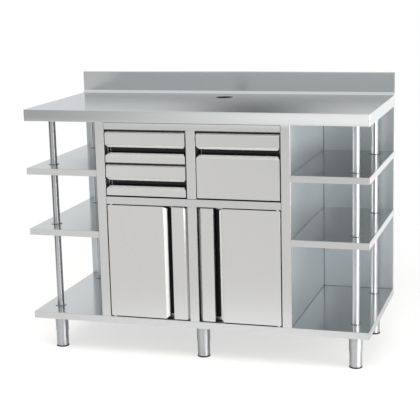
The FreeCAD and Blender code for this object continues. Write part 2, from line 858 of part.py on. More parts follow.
def door_pivots():
    """The fixed pins that the doors turn on, each with a washer in the gap."""
    radius = size.pivot_diameter / 2
    washer = radius + size.pivot_washer_rim
    lift = size.front_gap - size.pivot_play
    outline = [(ZERO, ZERO), (washer, ZERO), (washer, lift), (radius, lift),
               (radius, size.pivot_length), (ZERO, size.pivot_length)]
    pins = []
    x = left_opening + size.front_gap + size.pivot_inset
    y = cabinet_front + size.pivot_setback
    for side, hand in (("left", 1), ("right", -1)):
        for spot, z, turn in (("bottom", base_top, UPRIGHT), ("top", middle_rail_under, HALF_TURN)):
            pin = turned(f"pivot_{spot}_{side}", outline)
            place(pin, x * hand, y, z, turn)
            pins.append(pin)
    group("door_pivots", pins)


def door_catches():
    """Magnetic catches that hang from the deck behind each door's free edge."""
    catches = []
    top = middle_rail_top - size.panel_sheet
    low = middle_rail_under - size.front_gap - size.catch_height
    inset = half_stile + size.front_gap + size.door_strip / 2
    for side, x in (("left", -inset), ("right", inset)):
        body = new_body(f"catch_{side}")
        block = sketch_on(body, "XY_Plane")
        draw_rectangle(block, -size.catch_width / 2, ZERO, size.catch_width / 2, size.catch_thickness)
        feature(body, "Pad", "Magnet", block, size.catch_height)
        hanger = sketch_on(body, "XY_Plane")
        draw_rectangle(hanger, -size.catch_width / 2, size.catch_thickness - size.panel_sheet,
                       size.catch_width / 2, size.catch_thickness)
        feature(body, "Pad", "Hanger", hanger, top - low)
        place(body, x, door_back + size.catch_gap, low)
        catches.append(body)
    group("door_catches", catches)


# ---------------------------------------------------------------------------
# Posts and feet
# ---------------------------------------------------------------------------

def posts():
    """Tube lengths between the shelves, their collars, and the rods that clamp them."""
    levels = (
        ("lower", base_top, lower_shelf_top - size.panel_sheet),
        ("middle", lower_shelf_top, upper_shelf_top - size.panel_sheet),
        ("upper", upper_shelf_top, worktop_skin),
    )
    outer = size.post_diameter / 2
    inner = outer - size.post_wall
    rim = outer + size.collar_rim
    tubes = []
    rods = []
    for corner, (x, y) in CORNERS.items():
        for level, low, high in levels:
            tube = turned(f"tube_{level}_{corner}", [
                (inner, ZERO), (outer, ZERO), (outer, high - low), (inner, high - low)])
            place(tube, x, y, low)
            tubes.append(tube)
        rod_length = worktop_skin - base_skin
        rod_radius = size.tie_rod_diameter / 2
        rod = turned(f"rod_{corner}", [
            (ZERO, ZERO), (rod_radius, ZERO), (rod_radius, rod_length), (ZERO, rod_length)])
        place(rod, x, y, base_skin)
        rods.append(rod)
    collars = []
    for corner, (x, y) in CORNERS.items():
        for level, low, _ in levels:
            collar = turned(f"collar_{level}_{corner}", [
                (outer, ZERO), (rim, ZERO), (rim, size.collar_height), (outer, size.collar_height)])
            place(collar, x, y, low)
            collars.append(collar)
    group("post_tubes", tubes)
    group("post_collars", collars)
    group("post_tie_rods", rods)


def feet():
    """Six feet: a sleeve with its plate and nut, and the insert that screws up into it."""
    insert_outer = size.insert_diameter / 2
    plate = foot_plate_radius
    plate_low = base_skin - size.foot_plate_thickness
    sleeve_low = base_under - size.sleeve_drop
    spindle = size.spindle_diameter / 2
    nut = spindle + size.spindle_nut_wall
    nut_bore = spindle + size.spindle_clearance
    nut_low = plate_low - size.spindle_nut_length
    spindle_top = nut_low + size.spindle_engagement
    insert_top = sleeve_low + size.insert_overlap
    pad_face = size.pad_height
    cup_floor = pad_face + size.insert_wall
    bore_inner = insert_outer - size.insert_wall
    sleeves = []
    for name, (x, y) in FEET.items():
        sleeve = turned(f"sleeve_{name}", [
            (nut_bore, nut_low), (nut, nut_low), (nut, plate_low), (sleeve_inner, plate_low),
            (sleeve_inner, sleeve_low), (sleeve_outer, sleeve_low), (sleeve_outer, plate_low),
            (plate, plate_low), (plate, base_skin), (ZERO, base_skin), (ZERO, plate_low),
            (nut_bore, plate_low)])
        place(sleeve, x, y, 0)
        sleeves.append(sleeve)
        insert = turned(f"foot_insert_{name}", [
            (ZERO, pad_face), (insert_outer, pad_face), (insert_outer, insert_top),
            (bore_inner, insert_top), (bore_inner, cup_floor), (spindle, cup_floor),
            (spindle, spindle_top), (ZERO, spindle_top)])
        place(insert, x, y, 0)
        keep(insert)
        rim = insert_outer + size.pad_overhang
        pad = turned(f"foot_pad_{name}", [
            (ZERO, ZERO), (rim, ZERO), (rim, pad_face), (ZERO, pad_face)])
        place(pad, x, y, 0)
        keep(pad)
    group("foot_sleeves", sleeves)


# ---------------------------------------------------------------------------
# Build, check and write
# ---------------------------------------------------------------------------

worktop()
cable_grommet()
base_shelf()
stiffeners()
back_panel()
end_shelves()
side_panels()
front_frame()
deck()
drawer_divider()
runner_carriers()
cabinet_shelf()
drawer_fronts_and_boxes()
runners()
doors()
door_pivots()
door_catches()
posts()
feet()
doc.recompute()

for item in doc.Objects:
    if "Invalid" in item.State or "Error" in item.State:
        raise ValueError(f"{item.Label} failed: {item.State}")
for node in NODES:
    if node.Shape.isNull() or not node.Shape.isValid():
        raise ValueError(f"{node.Label} has no valid shape")

os.makedirs("parts", exist_ok=True)
for node in NODES:
    node.Shape.exportStep(f"parts/{node.Label}.step")
print(len(NODES), "nodes written")
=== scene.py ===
"""Looks of the waiter service station: satin stainless steel, polished tube, feet and fasteners.

Metres, +Z up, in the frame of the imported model. Every piece is made by an operator of its own.
"""

import math

import bpy
from bpy.props import FloatProperty, FloatVectorProperty, IntProperty, PointerProperty
from mathutils import Matrix, Vector


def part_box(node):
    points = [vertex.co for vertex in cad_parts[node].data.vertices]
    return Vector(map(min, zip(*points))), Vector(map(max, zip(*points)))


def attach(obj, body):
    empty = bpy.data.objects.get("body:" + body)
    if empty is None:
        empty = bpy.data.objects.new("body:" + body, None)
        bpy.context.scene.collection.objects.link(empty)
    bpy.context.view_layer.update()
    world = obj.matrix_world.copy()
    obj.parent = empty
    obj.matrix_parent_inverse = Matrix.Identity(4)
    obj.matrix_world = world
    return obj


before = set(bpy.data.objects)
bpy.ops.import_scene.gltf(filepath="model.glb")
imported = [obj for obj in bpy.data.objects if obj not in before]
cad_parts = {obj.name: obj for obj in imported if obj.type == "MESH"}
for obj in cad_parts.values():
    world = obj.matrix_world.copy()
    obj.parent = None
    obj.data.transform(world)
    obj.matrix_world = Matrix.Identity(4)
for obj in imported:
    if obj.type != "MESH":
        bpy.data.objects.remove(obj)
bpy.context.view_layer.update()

bl_info = {
    "name": "Waiter service station",
    "version": (1, 0, 0),
    "blender": (4, 5, 0),
    "location": "3D View > Sidebar > Station",
    "description": "Finishes and small fasteners of a stainless-steel service station",
    "category": "Object",
}

MM = 0.001


def linear(hex_colour):
    """An sRGB hex value as linear red, green and blue."""
    parts = [int(hex_colour[i:i + 2], 16) / 255 for i in (1, 3, 5)]
    return tuple(c / 12.92 if c <= 0.04045 else ((c + 0.055) / 1.055) ** 2.4 for c in parts)


# ---------------------------------------------------------------------------
# Settings
# ---------------------------------------------------------------------------

class STATION_PG_finish(bpy.types.PropertyGroup):
    """Colours of the finishes."""
    sheet: FloatVectorProperty(
        name="Sheet", description="Satin stainless sheet of shelves and frame",
        subtype="COLOR", default=linear("#d6d6d5"), min=0, max=1)
    fronts: FloatVectorProperty(
        name="Fronts", description="Satin stainless sheet of drawer fronts and doors",
        subtype="COLOR", default=linear("#dad9d7"), min=0, max=1)
    # Painted shade: a darker, bluish copy of the sheet colour, for the cool shade inside the bays
    panels: FloatVectorProperty(
        name="Panels", description="Satin stainless sheet of the cabinet's sides and the back",
        subtype="COLOR", default=linear("#cdd3d5"), min=0, max=1)
    worktop: FloatVectorProperty(
        name="Worktop", description="Satin stainless sheet of the worktop",
        subtype="COLOR", default=linear("#d4d5d5"), min=0, max=1)
    tube: FloatVectorProperty(
        name="Tube", description="Polished stainless tube and collars",
        subtype="COLOR", default=linear("#cfcfd0"), min=0, max=1)
    feet: FloatVectorProperty(
        name="Feet", description="Polished stainless feet",
        subtype="COLOR", default=linear("#d2d2d3"), min=0, max=1)
    zinc: FloatVectorProperty(
        name="Zinc", description="Zinc-plated runners, rods and screws",
        subtype="COLOR", default=linear("#c2c6c8"), min=0, max=1)
    plastic: FloatVectorProperty(
        name="Plastic", description="Black polyamide of the cable outlet and the catches",
        subtype="COLOR", default=linear("#1b1c1d"), min=0, max=1)
    rubber: FloatVectorProperty(
        name="Rubber", description="Black rubber of the foot pads",
        subtype="COLOR", default=linear("#161616"), min=0, max=1)


class STATION_PG_sizes(bpy.types.PropertyGroup):
    """Sizes of the finger channels, of the painted shade and highlights, and of the small pieces.
    """
    drawer_channel: FloatProperty(
        name="Drawer channel", description="From a drawer front's top edge to its finger channel",
        subtype="DISTANCE", unit="LENGTH", default=72.5 * MM, min=20 * MM, max=120 * MM)
    door_channel: FloatProperty(
        name="Door channel", description="From a door's free edge to its finger channel",
        subtype="DISTANCE", unit="LENGTH", default=67.5 * MM, min=20 * MM, max=120 * MM)
    channel_width: FloatProperty(
        name="Channel width", description="Clear width of a finger channel",
        subtype="DISTANCE", unit="LENGTH", default=24 * MM, min=10 * MM, max=60 * MM)
    # Painted shade: behind the first depth the channel is painted dark, over the second, for the
    # shade inside it
    channel_shade_start: FloatProperty(
        name="Channel bevel", description="How far behind the face the belt still reaches",
        subtype="DISTANCE", unit="LENGTH", default=18 * MM, min=0 * MM, max=40 * MM)
    channel_fade: FloatProperty(
        name="Channel fade", description="Over what depth the channel turns dark behind that",
        subtype="DISTANCE", unit="LENGTH", default=6 * MM, min=1 * MM, max=40 * MM)
    # Painted highlight: the bend between a face and its channel is made pale over this width
    lip_highlight: FloatProperty(
        name="Lip bend", description="Width of the pale bend between a face and its channel",
        subtype="DISTANCE", unit="LENGTH", default=12 * MM, min=1 * MM, max=40 * MM)
    # Painted shade: a dark band is painted along the top edge of each front, under the piece above
    top_edge_shade: FloatProperty(
        name="Edge bend", description="Height of the dark bend along the top edge of a front",
        subtype="DISTANCE", unit="LENGTH", default=4 * MM, min=1 * MM, max=10 * MM)
    # Dark lines of this width are painted where two sheets meet: partly the joint, partly painted
    # shade in the corner or under the piece above
    seam: FloatProperty(
        name="Seam", description="Width of the dark line where two sheets meet",
        subtype="DISTANCE", unit="LENGTH", default=1 * MM, min=0.5 * MM, max=4 * MM)
    screw_head: FloatProperty(
        name="Screw head", description="Diameter of a screw's pan head",
        subtype="DISTANCE", unit="LENGTH", default=7.5 * MM, min=3 * MM, max=12 * MM)
    screw_height: FloatProperty(
        name="Screw head height", description="How far a pan head stands out",
        subtype="DISTANCE", unit="LENGTH", default=2 * MM, min=0.5 * MM, max=4 * MM)
    runner_screw_count: IntProperty(
        name="Screws in a runner", description="Screws along each runner member",
        default=3, min=2, max=6)
    foot_screw_count: IntProperty(
        name="Screws in a foot plate", description="Screws round each foot plate",
        default=4, min=3, max=8)
    box_sheet: FloatProperty(
        name="Drawer box sheet", description="Thickness of the drawer boxes' sheet",
        subtype="DISTANCE", unit="LENGTH", default=1 * MM, min=0.5 * MM, max=3 * MM)
    foot_plate: FloatProperty(
        name="Foot plate", description="Thickness of the plate on top of each foot",
        subtype="DISTANCE", unit="LENGTH", default=3 * MM, min=1 * MM, max=8 * MM)
    foot_plate_rim: FloatProperty(
        name="Foot plate rim", description="How far a foot plate reaches past its sleeve",
        subtype="DISTANCE", unit="LENGTH", default=16 * MM, min=8 * MM, max=40 * MM)


# ---------------------------------------------------------------------------
# Materials
# ---------------------------------------------------------------------------

# How far a ground sheet varies at full contrast: roughness and shade by scratch, roughness by haze
SCRATCH_GLOSS = 0.02
SCRATCH_SHADE = 0.03
HAZE_GLOSS = 0.015
# How much longer than wide the scratches and the clouds of haze are
SCRATCH_STRETCH = 120
CLOUD_STRETCH = 2.5
# Range that nearly all values lie in, of fine noise and of clouds
FINE_SPAN = (0.3, 0.7)
CLOUD_SPAN = (0.35, 0.65)
# Depth of the scratches and the share of it that shows at full contrast
SCRATCH_DEPTH = 0.02 * MM
SCRATCH_RELIEF = 0.02
# Colour of painted shade, and how metallic a bend is made to show a painted pale highlight
PAINTED_SHADE = linear("#2e2e31") + (1,)
PAINTED_HIGHLIGHT_METALLIC = 0.2
# Share of the other axes in a grain line, so that it is never along the surface's normal, and the
# line across the grain of a tube, which is nearly its length
GRAIN_SLANT = 0.03
TUBE_ACROSS = {"X": 0.02, "Y": 0.03, "Z": 1.0}
# How far a region reaches past its two levels, and a depth in metres beyond every piece
REGION_MARGIN = 1 * MM
FAR_BACK = 10.0
# How far up a collar the painted shade line at its foot is drawn, before that margin
COLLAR_SHADE_LINE = 0.6 * MM
# How far a moulded surface varies: roughness, paler spots, and the depth of its grain
MOULD_GLOSS = 0.08
MOULD_PALER = 1.5
MOULD_LIFT = 0.004
MOULD_DEPTH = 0.1 * MM
MOULD_RELIEF = 0.25
WHITE = (1, 1, 1, 1)


def add_node(tree, kind, inputs=None, **settings):
    """Add a node, set its properties and its input values, and link inputs given as sockets."""
    node = tree.nodes.new(kind)
    for name, value in settings.items():
        setattr(node, name, value)
    for key, value in (inputs or {}).items():
        if isinstance(value, bpy.types.NodeSocket):
            tree.links.new(value, node.inputs[key])
        else:
            node.inputs[key].default_value = value
    return node


def maths(tree, operation, *values):
    """The result of a maths node on sockets or numbers."""
    return add_node(tree, "ShaderNodeMath", dict(enumerate(values)), operation=operation).outputs[0]


def remap(tree, value, low, high, start=0.0, stop=1.0, curve="LINEAR"):
    """A value that passes from low to high, as one that passes from start to stop."""
    return add_node(tree, "ShaderNodeMapRange",
                    {"Value": value, "From Min": low, "From Max": high, "To Min": start,
                     "To Max": stop}, interpolation_type=curve).outputs["Result"]


def mix(tree, share, before, after, kind="RGBA"):
    """Two colours, or two numbers for the kind FLOAT, mixed by a share."""
    return add_node(tree, "ShaderNodeMix", {"Factor": share, "A": before, "B": after},
                    data_type=kind).outputs["Result"]


def noise(tree, place, scale, detail, roughness):
    """Noise from 0 to 1."""
    return add_node(tree, "ShaderNodeTexNoise",
                    {"Vector": place, "Scale": scale, "Detail": detail,
                     "Roughness": roughness}).outputs["Fac"]


def object_place(tree):
    """Object coordinates in metres."""
    return add_node(tree, "ShaderNodeTexCoord").outputs["Object"]


def empty_material(name):
    """A material whose node tree is empty."""
    material = bpy.data.materials.new(name)
    material.use_nodes = True
    material.node_tree.nodes.clear()
    return material, material.node_tree


def new_material(name):
    """A node material with its shader and output."""
    material, tree = empty_material(name)
    shader = add_node(tree, "ShaderNodeBsdfPrincipled")
    add_node(tree, "ShaderNodeOutputMaterial", {"Surface": shader.outputs["BSDF"]})
    return material, tree, shader


def stretched(tree, along, period, stretch):
    """Object coordinates scaled so that noise has streaks along one axis, or along both of "XY".

    period is the distance across the streaks in metres; stretch is how much longer they are.
    """
    scale = [1 / (period * stretch) if axis in along else 1 / period for axis in "XYZ"]
    return add_node(tree, "ShaderNodeMapping",
                    {"Vector": object_place(tree), "Scale": scale}).outputs["Vector"]


def region(tree, axis, low, high, depth, fade, end=FAR_BACK):
    """1 between two depths in Y and between two levels along an axis, 0 elsewhere."""
    parts = add_node(tree, "ShaderNodeSeparateXYZ", {"Vector": object_place(tree)})
    off = maths(tree, "SUBTRACT", parts.outputs[axis], (low + high) / 2)
    half = (high - low) / 2 + REGION_MARGIN
    inside = maths(tree, "LESS_THAN", maths(tree, "ABSOLUTE", off), half)
    deep = remap(tree, parts.outputs["Y"], depth, depth + fade)
    near = maths(tree, "LESS_THAN", parts.outputs["Y"], end)
    return maths(tree, "MULTIPLY", maths(tree, "MULTIPLY", inside, deep), near)


def satin_steel(name, colour, along, roughness=0.3, anisotropy=0.6, grain=1.2 * MM,
                wipe=220 * MM, contrast=0.5, painted_shades=(), pale_highlights=()):
    """AISI 304 sheet, belt-ground with 240 grit along its length.

    The scratches are about 0.1 mm apart, too fine to show, so they are drawn 1.2 mm apart. They
    spread reflections across the grain; slow cloudy changes of gloss come from wiping and rolling.
    On a tube the belt runs round it, which is "XY".
    Each recess is (axis, low, high, depth, fade, end): painted shade between two levels along
    the axis and two depths in Y, dark once past the fade, for the shade that falls in channels,
    corners and under edges. Each bend is the same, but a painted highlight: the steel there is
    made nearly non-metallic, which leaves it pale and dull.
    """
    material, tree, shader = new_material(name)
    scratch = noise(tree, stretched(tree, along, grain, SCRATCH_STRETCH), scale=1.0, detail=3.0,
                    roughness=0.6)
    cloud = noise(tree, stretched(tree, along, wipe, CLOUD_STRETCH), scale=1.0, detail=2.0,
                  roughness=0.45)
    gloss = remap(tree, scratch, *FINE_SPAN, roughness - SCRATCH_GLOSS * contrast,
                  roughness + SCRATCH_GLOSS * contrast)
    haze = remap(tree, cloud, *CLOUD_SPAN, -HAZE_GLOSS * contrast, HAZE_GLOSS * contrast)
    tree.links.new(maths(tree, "ADD", gloss, haze), shader.inputs["Roughness"])
    darker = tuple(c * (1 - SCRATCH_SHADE * contrast) for c in colour) + (1,)
    shade = mix(tree, scratch, tuple(colour) + (1,), darker)
    # Painted shade: each recess is darkened to the shade colour
    for recess in painted_shades:
        shade = mix(tree, region(tree, *recess), shade, PAINTED_SHADE)
    tree.links.new(shade, shader.inputs["Base Color"])
    # Painted highlight: each bend is made nearly non-metallic, so it shows pale and dull
    metal = 1.0
    for bend in pale_highlights:
        metal = mix(tree, region(tree, *bend), metal, PAINTED_HIGHLIGHT_METALLIC, "FLOAT")
    if pale_highlights:
        tree.links.new(metal, shader.inputs["Metallic"])
    else:
        shader.inputs["Metallic"].default_value = metal
    bump = add_node(tree, "ShaderNodeBump",
                    {"Height": scratch, "Strength": SCRATCH_RELIEF * contrast,
                     "Distance": SCRATCH_DEPTH})
    tree.links.new(bump.outputs["Normal"], shader.inputs["Normal"])
    if along == "XY":
        across = add_node(tree, "ShaderNodeCombineXYZ", TUBE_ACROSS)
    else:
        line = tuple(1.0 if axis == along else GRAIN_SLANT for axis in "XYZ")
        normal = add_node(tree, "ShaderNodeNewGeometry").outputs["Normal"]
        across = add_node(tree, "ShaderNodeVectorMath", {0: normal, 1: line},
                          operation="CROSS_PRODUCT")
    tree.links.new(across.outputs[0], shader.inputs["Tangent"])
    shader.inputs["Anisotropic"].default_value = anisotropy
    return material


# ---------------------------------------------------------------------------
# Which finish each CAD node takes
# ---------------------------------------------------------------------------

def set_finish(nodes, material):
    """Give CAD nodes a material in place of their plain slot."""
    for name in nodes:
        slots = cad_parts[name].data.materials
        slots.clear()
        slots.append(material)


def nodes_named(*starts):
    """The CAD nodes whose names start with any of these."""
    return [n for n in sorted(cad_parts) if n.startswith(starts)]


class STATION_OT_sheet(bpy.types.Operator):
    """Satin finish on the shelves, frame, panels and worktop, with the grain along each sheet"""
    bl_idname = "station.sheet"
    bl_label = "Sheet steel"

    def execute(self, context):
        """Assign the sheet finishes by the direction that each piece's grain runs."""
        finish = context.scene.station_finish
        line = context.scene.station_sizes.seam
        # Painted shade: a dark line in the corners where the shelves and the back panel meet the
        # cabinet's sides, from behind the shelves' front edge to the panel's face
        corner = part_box("cabinet_side_right")[1][0]
        corners = [("X", x, x + line) for x in (corner, -corner - line)]
        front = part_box("base_shelf")[0][1] + line * 6
        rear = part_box("back_panel")[0][1]
        shelves = satin_steel("satin_shelf", finish.sheet, "X", roughness=0.2, anisotropy=0.85,
                              painted_shades=[(*spot, front, line) for spot in corners])
        stiles = satin_steel("satin_stile", finish.sheet, "Z", roughness=0.25)
        # The back and the cabinet's sides take the panels' colour, a painted cool shade
        back = satin_steel("satin_back", finish.panels, "X", roughness=0.36, anisotropy=0.2,
                           painted_shades=[(*spot, rear - line, line / 2, rear + line / 2)
                                     for spot in corners])
        sides = satin_steel("satin_side", finish.panels, "Z", roughness=0.3)
        deep_sheets = satin_steel("satin_sheet_deep", finish.sheet, "Y", roughness=0.3)
        top = satin_steel("satin_worktop", finish.worktop, "X", roughness=0.2, anisotropy=0.85)
        set_finish(nodes_named("base_", "upper_shelf", "lower_shelf", "drawer_deck",
                               "cabinet_shelf", "worktop_stiffeners"), shelves)
        for node in ("top_rail", "middle_rail"):
            low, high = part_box(node)
            # Painted shade: a dark line along the top, under the piece above, and at both ends,
            # partly the joint there
            seam_shades = [("Z", high[2] - line, high[2], low[1] - line, line)]
            seam_shades += [("X", edge, edge, low[1] - line, line) for edge in (low[0], high[0])]
            set_finish([node], satin_steel(f"satin_{node}", finish.sheet, "X", roughness=0.25,
                                           painted_shades=seam_shades))
        set_finish(nodes_named("stile_", "centre_stile", "shelf_clips"), stiles)
        set_finish(["back_panel"], back)
        set_finish(nodes_named("cabinet_side", "drawer_divider"), sides)
        set_finish(nodes_named("runner_carrier"), deep_sheets)
        for node in nodes_named("drawer_box"):
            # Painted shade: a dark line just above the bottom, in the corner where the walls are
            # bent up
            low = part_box(node)[0]
            corner_shade = ("Z", low[2] + line * 2.5, low[2] + line * 3, low[1], line)
            set_finish([node], satin_steel(f"satin_{node}", finish.sheet, "Y", roughness=0.42,
                                           anisotropy=0.3, painted_shades=(corner_shade,)))
        set_finish(["worktop"], top)
        return {"FINISHED"}


class STATION_OT_fronts(bpy.types.Operator):
    """Satin finish on the drawer fronts and doors"""
    bl_idname = "station.fronts"
    bl_label = "Fronts"

    def execute(self, context):
        """Assign the fronts' finishes: grain across the drawers and up the doors."""
        finish = context.scene.station_finish
        sizes = context.scene.station_sizes

        def finish_front(node, axis, channel, lip, along, roughness):
            """One front's finish: painted shade in the channel and along the top edge, painted
            highlight on the lip.
            """
            low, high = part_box(node)
            # Painted shade in the channel and along the top edge, painted highlight on the pale lip
            dark = (axis, *channel, low[1] + sizes.channel_shade_start, sizes.channel_fade)
            top = ("Z", high[2] - sizes.top_edge_shade, high[2], low[1], sizes.top_edge_shade,
                   low[1] + sizes.top_edge_shade * 3)
            pale = (axis, *lip, low[1] + 1 * MM, 1 * MM)
            set_finish([node], satin_steel(f"satin_{node}", finish.fronts, along,
                                           roughness=roughness, painted_shades=(dark, top),
                                           pale_highlights=(pale,)))

        for node in nodes_named("drawer_front"):
            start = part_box(node)[1][2] - sizes.drawer_channel
            channel = (start - sizes.channel_width, start)
            lip = (start, start + sizes.lip_highlight)
            finish_front(node, "Z", channel, lip, along="X", roughness=0.2)
        for node in nodes_named("door_front"):
            low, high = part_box(node)
            if node.endswith("left"):
                end = high[0] - sizes.door_channel
                start = end - sizes.channel_width
                lip = (start - sizes.lip_highlight, start)
            else:
                start = low[0] + sizes.door_channel
                end = start + sizes.channel_width
                lip = (end, end + sizes.lip_highlight)
            finish_front(node, "X", (start, end), lip, along="Z", roughness=0.26)
        set_finish(nodes_named("door_liner"), satin_steel("satin_liner", finish.fronts, "Z"))
        return {"FINISHED"}


class STATION_OT_tubes(bpy.types.Operator):
    """Polished finish on the posts, collars and feet"""
    bl_idname = "station.tubes"
    bl_label = "Tubes and feet"

    def execute(self, context):
        """Assign the polished finishes."""
        finish = context.scene.station_finish
        tube = satin_steel("polished_tube", finish.tube, "XY", roughness=0.3, anisotropy=0.95,
                           grain=0.8 * MM, contrast=0.15)
        feet = satin_steel("polished_foot", finish.feet, "XY", roughness=0.36, anisotropy=0.95,
                           grain=0.8 * MM, contrast=0.3)
        # Painted shade: each collar is dark where it meets its shelf, at any depth
        rim_shades = []
        for shelf in ("base_shelf", "lower_shelf_left", "upper_shelf_left"):
            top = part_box(shelf)[1][2]
            rim_shades.append(("Z", top, top + COLLAR_SHADE_LINE, -FAR_BACK, 1 * MM))
        collar = satin_steel("polished_collar", finish.tube, "XY", roughness=0.3, anisotropy=0.95,
                             grain=0.8 * MM, contrast=0.15, painted_shades=rim_shades)
        set_finish(["post_tubes"], tube)
        set_finish(["post_collars"], collar)
        set_finish(nodes_named("foot_sleeves", "foot_insert"), feet)
        return {"FINISHED"}


class STATION_OT_zinc(bpy.types.Operator):
    """Zinc plating on the runners, tie rods and door pivots"""
    bl_idname = "station.zinc"
    bl_label = "Zinc-plated parts"

    def execute(self, context):
        """Assign the plated finish."""
        zinc = satin_steel("bright_zinc", context.scene.station_finish.zinc, "Y", roughness=0.24,
                           grain=3 * MM)
        set_finish(nodes_named("runner_cabinet", "runner_middle", "runner_drawer", "post_tie_rods",
                               "door_pivots"), zinc)
        return {"FINISHED"}


def moulded(name, colour, roughness, grit):
    """Moulded polyamide or rubber: an eroded mould gives a fine even grain and a dull sheen."""
    material, tree, shader = new_material(name)
    grain = noise(tree, object_place(tree), scale=1 / grit, detail=2.0, roughness=0.5)
    dull = remap(tree, grain, *FINE_SPAN, roughness - MOULD_GLOSS, roughness + MOULD_GLOSS)
    tree.links.new(dull, shader.inputs["Roughness"])
    paler = tuple(min(1.0, c * MOULD_PALER + MOULD_LIFT) for c in colour) + (1,)
    tree.links.new(mix(tree, grain, tuple(colour) + (1,), paler), shader.inputs["Base Color"])
    bump = add_node(tree, "ShaderNodeBump",
                    {"Height": grain, "Strength": MOULD_RELIEF, "Distance": MOULD_DEPTH})
    tree.links.new(bump.outputs["Normal"], shader.inputs["Normal"])
    return material


class STATION_OT_black_parts(bpy.types.Operator):
    """Black plastic of the cable outlet and catches, black rubber of the foot pads"""
    bl_idname = "station.black_parts"
    bl_label = "Black parts"

    def execute(self, context):
        """Assign the moulded finishes."""
        finish = context.scene.station_finish
        set_finish(["cable_grommet", "door_catches"],
                   moulded("black_polyamide", finish.plastic, 0.5, 0.8 * MM))
        set_finish(nodes_named("foot_pad"), moulded("black_rubber", finish.rubber, 0.75, 0.6 * MM))
        return {"FINISHED"}


# ---------------------------------------------------------------------------
# Screws
# ---------------------------------------------------------------------------

# Shares of the head's diameter: half the dome's width, and the length and width of a recess blade
DOME = 0.56
BLADE = (0.56, 0.13)
HEAD_SIDES = 20
# Where the first and the last screw of a row lie, as shares of the runner's length
ROW_START, ROW_END = 0.1, 0.9


def screw_tree():
    """Geometry Nodes that set a cross-recessed pan head on every point, along its "facing"."""
    tree = bpy.data.node_groups.new("pan_head_screws", "GeometryNodeTree")
    face = tree.interface
    face.new_socket("Points", in_out="INPUT", socket_type="NodeSocketGeometry")
    for name in ("Head Diameter", "Head Height"):
        face.new_socket(name, in_out="INPUT", socket_type="NodeSocketFloat").subtype = "DISTANCE"
    face.new_socket("Material", in_out="INPUT", socket_type="NodeSocketMaterial")
    face.new_socket("Screws", in_out="OUTPUT", socket_type="NodeSocketGeometry")
    given = add_node(tree, "NodeGroupInput").outputs

    def times(value, factor):
        """A size times a plain number."""
        return maths(tree, "MULTIPLY", value, factor)

    def along(x, y, z):
        """Three sizes as one vector."""
        return add_node(tree, "ShaderNodeCombineXYZ", {"X": x, "Y": y, "Z": z}).outputs[0]

    diameter, height = given["Head Diameter"], given["Head Height"]
    ball = add_node(tree, "GeometryNodeMeshUVSphere",
                    {"Segments": HEAD_SIDES, "Rings": 10, "Radius": 1.0})
    dome = add_node(tree, "GeometryNodeTransform", {
        "Geometry": ball.outputs["Mesh"],
        "Scale": along(times(diameter, DOME), times(diameter, DOME), height)})
    rod = add_node(tree, "GeometryNodeMeshCylinder", {
        "Vertices": HEAD_SIDES, "Radius": times(diameter, 0.5), "Depth": times(height, 2.0)})
    core = add_node(tree, "GeometryNodeTransform", {
        "Geometry": rod.outputs["Mesh"], "Translation": along(0.0, 0.0, height)})
    head = add_node(tree, "GeometryNodeMeshBoolean", {"Mesh 2": dome.outputs[0]},
                    operation="INTERSECT")
    tree.links.new(core.outputs[0], head.inputs["Mesh 2"])
    recess = add_node(tree, "GeometryNodeMeshBoolean", {"Mesh 1": head.outputs["Mesh"]},
                      operation="DIFFERENCE")
    for x, y in (BLADE, BLADE[::-1]):
        blade = add_node(tree, "GeometryNodeMeshCube", {
            "Size": along(times(diameter, x), times(diameter, y), height)})
        raised = add_node(tree, "GeometryNodeTransform", {
            "Geometry": blade.outputs["Mesh"], "Translation": along(0.0, 0.0, height)})
        tree.links.new(raised.outputs[0], recess.inputs["Mesh 2"])
    facing = add_node(tree, "GeometryNodeInputNamedAttribute", {"Name": "facing"},
                      data_type="FLOAT_VECTOR")
    upright = add_node(tree, "FunctionNodeAlignRotationToVector",
                       {"Vector": facing.outputs["Attribute"]}, axis="Z")
    turn = add_node(tree, "FunctionNodeRandomValue", {2: 0.0, 3: math.pi / 2, "Seed": 7},
                    data_type="FLOAT")
    spin = add_node(tree, "FunctionNodeAxisAngleToRotation",
                    {"Axis": (0.0, 0.0, 1.0), "Angle": turn.outputs[1]})
    tightened = add_node(tree, "FunctionNodeRotateRotation",
                         {"Rotation": upright.outputs[0], "Rotate By": spin.outputs[0]},
                         rotation_space="LOCAL")
    placed = add_node(tree, "GeometryNodeInstanceOnPoints", {
        "Points": given["Points"], "Instance": recess.outputs["Mesh"],
        "Rotation": tightened.outputs[0]})
    real = add_node(tree, "GeometryNodeRealizeInstances", {"Geometry": placed.outputs[0]})
    coated = add_node(tree, "GeometryNodeSetMaterial",
                      {"Geometry": real.outputs[0], "Material": given["Material"]})
    add_node(tree, "NodeGroupOutput", {"Screws": coated.outputs[0]})
    return tree


